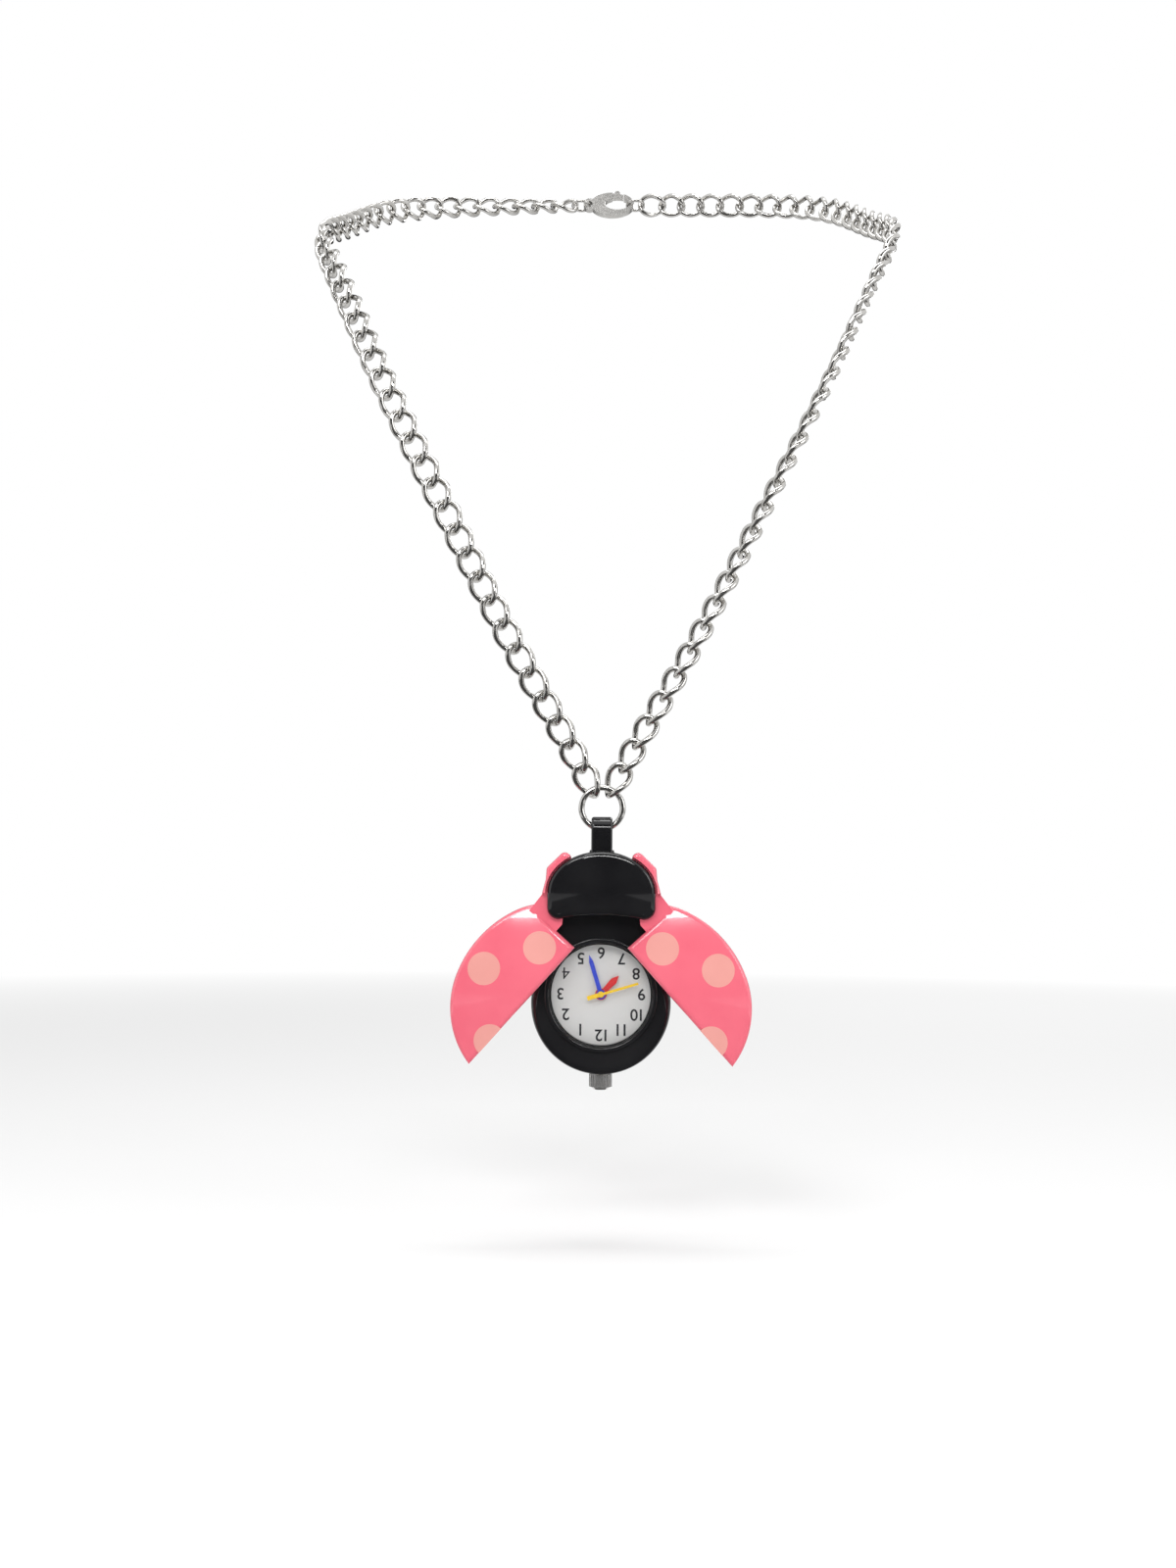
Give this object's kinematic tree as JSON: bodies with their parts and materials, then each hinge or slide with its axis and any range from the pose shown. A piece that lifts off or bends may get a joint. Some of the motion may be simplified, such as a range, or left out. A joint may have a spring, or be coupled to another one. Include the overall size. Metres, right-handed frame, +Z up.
{
  "type": "pendant watch",
  "caption": "Ladybird-shaped quartz pendant watch with wings that swing shut over the dial, hung from a bail and jump ring on a curb chain.",
  "frame": {"origin": "nape: the middle of the chain's loop at the back of the wearer's neck, in the clasp, halfway through its thickness", "axes": "X to the right as one looks at the watch, the watch faces -Y, +Z up"},
  "size_m": [0.134, 0.0824, 0.2347],
  "materials": {
    "chain_steel": "polished silver-coloured plate",
    "clasp_steel": "polished silver-coloured plate",
    "black_enamel": "glossy black enamel",
    "wing_enamel": "glossy pink enamel",
    "spot_enamel": "flush salmon enamel inlay",
    "crystal_glass": "clear mineral glass",
    "dial_silver": "silvery off-white, satin",
    "hour_red": "red lacquer",
    "minute_blue": "blue lacquer",
    "second_yellow": "yellow lacquer",
    "crown_steel": "polished",
    "steel": "machined",
    "nickel_brass": "nickel-plated brass",
    "wheel_brass": "polished brass",
    "white_plastic": "moulded",
    "magnet": "sintered magnet with a moulded pinion",
    "board_green": "printed circuit board",
    "chip_black": "epoxy blob",
    "copper": "enamelled copper wire",
    "gasket_rubber": "nitrile rubber"
  },
  "bodies": {
    "nape": {"nape_chain_left": "chain_steel", "nape_chain_right": "chain_steel", "end_ring": "chain_steel", "clasp_ring": "chain_steel", "clasp_body": "clasp_steel", "clasp_pin": "clasp_steel"},
    "clasp_lever": {"clasp_lever": "clasp_steel"},
    "front_chain": {"chain_strand_left": "chain_steel", "chain_strand_right": "chain_steel"},
    "jump_ring": {"jump_ring": "chain_steel"},
    "pendant": {"case_body": "black_enamel", "bail": "black_enamel", "head_cap": "black_enamel", "cap_screws": "steel", "wing_hinge_pins": "steel", "wing_friction_washers": "white_plastic", "bezel_ring": "black_enamel", "crystal": "crystal_glass", "crystal_gasket": "white_plastic", "case_back": "steel", "back_gasket": "gasket_rubber", "dial": "dial_silver", "movement_holder": "white_plastic", "main_plate": "nickel_brass", "train_bridge": "steel", "movement_screws": "steel", "battery": "steel", "battery_strap": "steel", "circuit_board": "board_green", "chip": "chip_black", "quartz_can": "steel", "stator": "steel", "coil_core": "steel", "coil_winding": "copper", "crown_tube": "nickel_brass", "lever_pin": "steel"},
    "wing_left": {"wing_left": "wing_enamel", "wing_spots_left": "spot_enamel"},
    "wing_right": {"wing_right": "wing_enamel", "wing_spots_right": "spot_enamel"},
    "minute_hand": {"minute_hand": "minute_blue", "cannon_pinion": "wheel_brass"},
    "hour_hand": {"hour_hand": "hour_red", "hour_wheel": "wheel_brass"},
    "minute_wheel": {"minute_wheel": "wheel_brass"},
    "second_hand": {"second_hand": "second_yellow", "second_wheel": "wheel_brass"},
    "third_wheel": {"third_wheel": "wheel_brass"},
    "centre_wheel": {"centre_wheel": "wheel_brass"},
    "fifth_wheel": {"fifth_wheel": "white_plastic"},
    "rotor": {"rotor": "magnet"},
    "sliding_pinion": {"sliding_pinion": "nickel_brass"},
    "crown": {"crown": "crown_steel", "winding_stem": "steel", "crown_oring": "gasket_rubber"},
    "setting_lever": {"setting_lever": "steel"}
  },
  "joints": [
    {"name": "clasp_lever_hinge", "type": "hinge", "parent": "nape", "child": "clasp_lever", "pos_m": [0.00047, 0, 0.00235], "axis": [0, 1, 0], "range_deg": [0, 22], "stiffness_Nm_per_rad": 0.002, "springref_deg": -11.46},
    {"name": "front_chain_swing", "type": "hinge", "parent": "nape", "child": "front_chain", "pos_m": [0, -0.06106, -0.05037], "axis": [-1, 0, 0], "range_deg": [0, 25]},
    {"name": "jump_ring_swing", "type": "hinge", "parent": "front_chain", "child": "jump_ring", "pos_m": [0, -0.0724, -0.17136], "axis": [-1, 0, 0], "range_deg": [-15, 25]},
    {"name": "pendant_swing", "type": "hinge", "parent": "jump_ring", "child": "pendant", "pos_m": [0, -0.0724, -0.17917], "axis": [-1, 0, 0], "range_deg": [-25, 60]},
    {"name": "wing_right_hinge", "type": "hinge", "parent": "pendant", "child": "wing_right", "pos_m": [0.0093, -0.0759, -0.1937], "axis": [0, 1, 0], "range_deg": [0, 42]},
    {"name": "wing_left_hinge", "type": "hinge", "parent": "pendant", "child": "wing_left", "pos_m": [-0.0093, -0.0759, -0.1937], "axis": [0, -1, 0], "range_deg": [0, 42]},
    {"name": "minute_hand_turn", "type": "hinge", "parent": "pendant", "child": "minute_hand", "pos_m": [0, -0.072, -0.212], "axis": [0, 1, 0], "continuous": true},
    {"name": "hour_hand_turn", "type": "hinge", "parent": "pendant", "child": "hour_hand", "pos_m": [0, -0.072, -0.212], "axis": [0, 1, 0], "continuous": true},
    {"name": "minute_wheel_turn", "type": "hinge", "parent": "pendant", "child": "minute_wheel", "pos_m": [0.00288, -0.072, -0.21488], "axis": [0, 1, 0], "continuous": true},
    {"name": "second_hand_turn", "type": "hinge", "parent": "pendant", "child": "second_hand", "pos_m": [0, -0.072, -0.212], "axis": [0, 1, 0], "continuous": true},
    {"name": "third_wheel_turn", "type": "hinge", "parent": "pendant", "child": "third_wheel", "pos_m": [0.00092, -0.072, -0.21454], "axis": [0, 1, 0], "continuous": true},
    {"name": "centre_wheel_turn", "type": "hinge", "parent": "pendant", "child": "centre_wheel", "pos_m": [0, -0.072, -0.212], "axis": [0, 1, 0], "continuous": true},
    {"name": "fifth_wheel_turn", "type": "hinge", "parent": "pendant", "child": "fifth_wheel", "pos_m": [0.00176, -0.072, -0.20991], "axis": [0, 1, 0], "continuous": true},
    {"name": "rotor_turn", "type": "hinge", "parent": "pendant", "child": "rotor", "pos_m": [0.00397, -0.072, -0.2103], "axis": [0, 1, 0], "continuous": true},
    {"name": "sliding_pinion_turn", "type": "hinge", "parent": "pendant", "child": "sliding_pinion", "pos_m": [0, -0.0694, -0.217], "axis": [0, 0, 1], "continuous": true},
    {"name": "crown_pull", "type": "slide", "parent": "sliding_pinion", "child": "crown", "axis": [0, 0, -1], "range_m": [0, 0.001]},
    {"name": "setting_lever_rock", "type": "hinge", "parent": "pendant", "child": "setting_lever", "pos_m": [0.0019, -0.0694, -0.2189], "axis": [0, -1, 0], "range_deg": [0, 32.6]}
  ],
  "couplings": [
    {"joint": "hour_hand_turn", "follows": "minute_hand_turn", "ratio": 0.083333},
    {"joint": "minute_wheel_turn", "follows": "minute_hand_turn", "ratio": -0.33333},
    {"joint": "third_wheel_turn", "follows": "second_hand_turn", "ratio": -0.125},
    {"joint": "centre_wheel_turn", "follows": "second_hand_turn", "ratio": 0.016667},
    {"joint": "fifth_wheel_turn", "follows": "second_hand_turn", "ratio": -6},
    {"joint": "rotor_turn", "follows": "second_hand_turn", "ratio": 30},
    {"joint": "setting_lever_rock", "follows": "crown_pull", "rad_per_m": 568}
  ]
}
